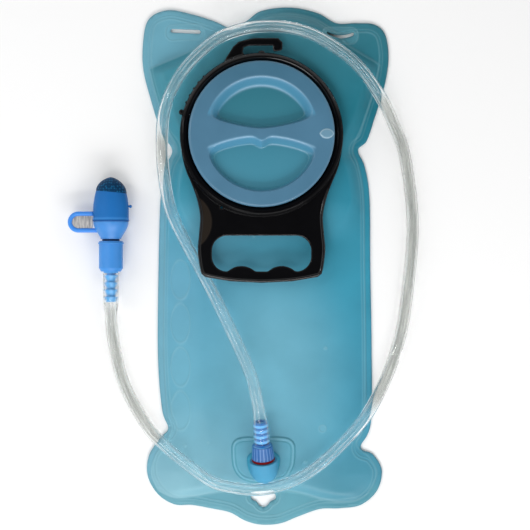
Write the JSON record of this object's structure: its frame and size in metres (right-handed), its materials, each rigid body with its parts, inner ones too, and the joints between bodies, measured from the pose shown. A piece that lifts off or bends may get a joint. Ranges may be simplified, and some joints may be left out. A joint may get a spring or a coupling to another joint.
{
  "type": "hydration bladder",
  "caption": "Welded film water bag with a wide screw cap in a carrying handle, a tilted outlet and a looped hose that ends in a covered bite valve.",
  "frame": {"origin": "under the middle of the bag, on the surface that it lies on", "axes": "+X to the right of the bag, +Y towards its filling end, +Z out of its front film"},
  "size_m": [0.2562, 0.3801, 0.0349],
  "materials": {
    "rear_film": "soft translucent film",
    "front_film": "soft translucent film",
    "patch_film": "clear film",
    "neck_plastic": "smooth",
    "handle_plastic": "polished",
    "seal_silicone": "soft",
    "cap_plastic": "satin translucent",
    "port_plastic": "smooth",
    "red_rubber": "soft",
    "connector_plastic": "clear tinted",
    "collar_plastic": "fluted",
    "hose_clear": "clear hose",
    "stem_plastic": "clear tinted",
    "barrel_plastic": "satin",
    "black_rubber": "soft",
    "bowl_plastic": "satin",
    "mouth_silicone": "soft",
    "cover_plastic": "soft satin",
    "tip_plastic": "dotted",
    "strap_plastic": "soft"
  },
  "bodies": {
    "bag": {"back_panel": "rear_film", "front_panel": "front_film", "outlet_patch": "patch_film", "fill_neck": "neck_plastic", "handle_frame": "handle_plastic", "outlet_port": "port_plastic", "plug_o_ring": "red_rubber", "hose_connector": "connector_plastic", "hose": "hose_clear", "valve_stem": "stem_plastic", "valve_barrel": "barrel_plastic", "valve_o_ring": "black_rubber"},
    "seal": {"cap_seal": "seal_silicone"},
    "cap": {"screw_cap": "cap_plastic"},
    "collar": {"lock_collar": "collar_plastic"},
    "valve": {"valve_bowl": "bowl_plastic", "mouthpiece": "mouth_silicone", "cover_strap": "strap_plastic"},
    "cover": {"dust_cover": "cover_plastic", "cover_tip": "tip_plastic"}
  },
  "joints": [
    {"name": "cap_lift", "type": "slide", "parent": "bag", "child": "seal", "axis": [0, 0, 1], "range_m": [0, 0.02]},
    {"name": "cap_turn", "type": "hinge", "parent": "seal", "child": "cap", "pos_m": [-0.0028, 0.0955, 0.02], "axis": [0, 0, 1], "range_deg": [0, 1440]},
    {"name": "collar_turn", "type": "hinge", "parent": "bag", "child": "collar", "pos_m": [-0.0015, -0.141, 0.0172], "axis": [-0.0655, 0.9374, 0.342], "range_deg": [0, 90]},
    {"name": "valve_twist", "type": "hinge", "parent": "bag", "child": "valve", "pos_m": [-0.1125, 0.02, 0.0133], "axis": [0, 1, 0], "range_deg": [0, 90]},
    {"name": "cover_pull", "type": "slide", "parent": "valve", "child": "cover", "axis": [0, 1, 0], "range_m": [0, 0.03], "deforming": ["cover_strap"]}
  ],
  "couplings": [
    {"joint": "cap_lift", "follows": "cap_turn", "m_per_rad": 0.00079577}
  ]
}
